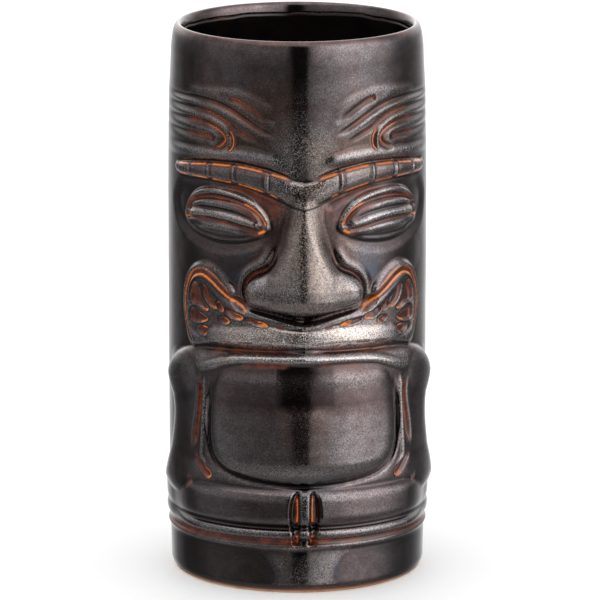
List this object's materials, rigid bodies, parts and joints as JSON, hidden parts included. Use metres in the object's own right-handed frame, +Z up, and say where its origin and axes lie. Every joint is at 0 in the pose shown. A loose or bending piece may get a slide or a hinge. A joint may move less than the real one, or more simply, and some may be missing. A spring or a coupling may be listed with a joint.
{
  "type": "tiki mug",
  "caption": "Tall round ceramic tumbler with a carved tiki face, belly, arms and legs on its front, a rolled lip and a flat foot; it holds a cold drink.",
  "frame": {"origin": "on the drum's axis, in the plane the mug stands on, at the centre of its flat foot", "axes": "+Z up along the drum's axis towards the mouth, -Y the way the carved face looks, +X to the right of someone looking at the face"},
  "size_m": [0.0837, 0.088, 0.1715],
  "materials": {
    "clay": "bare, dry, fine-grained fired stoneware",
    "outer_glaze": "glossy gunmetal reactive glaze over burnt orange, with fine silver speckle",
    "liner_glaze": "black gloss"
  },
  "bodies": {
    "root": {"clay_body": "clay", "outer_glaze": "outer_glaze", "liner_glaze": "liner_glaze"}
  },
  "joints": []
}
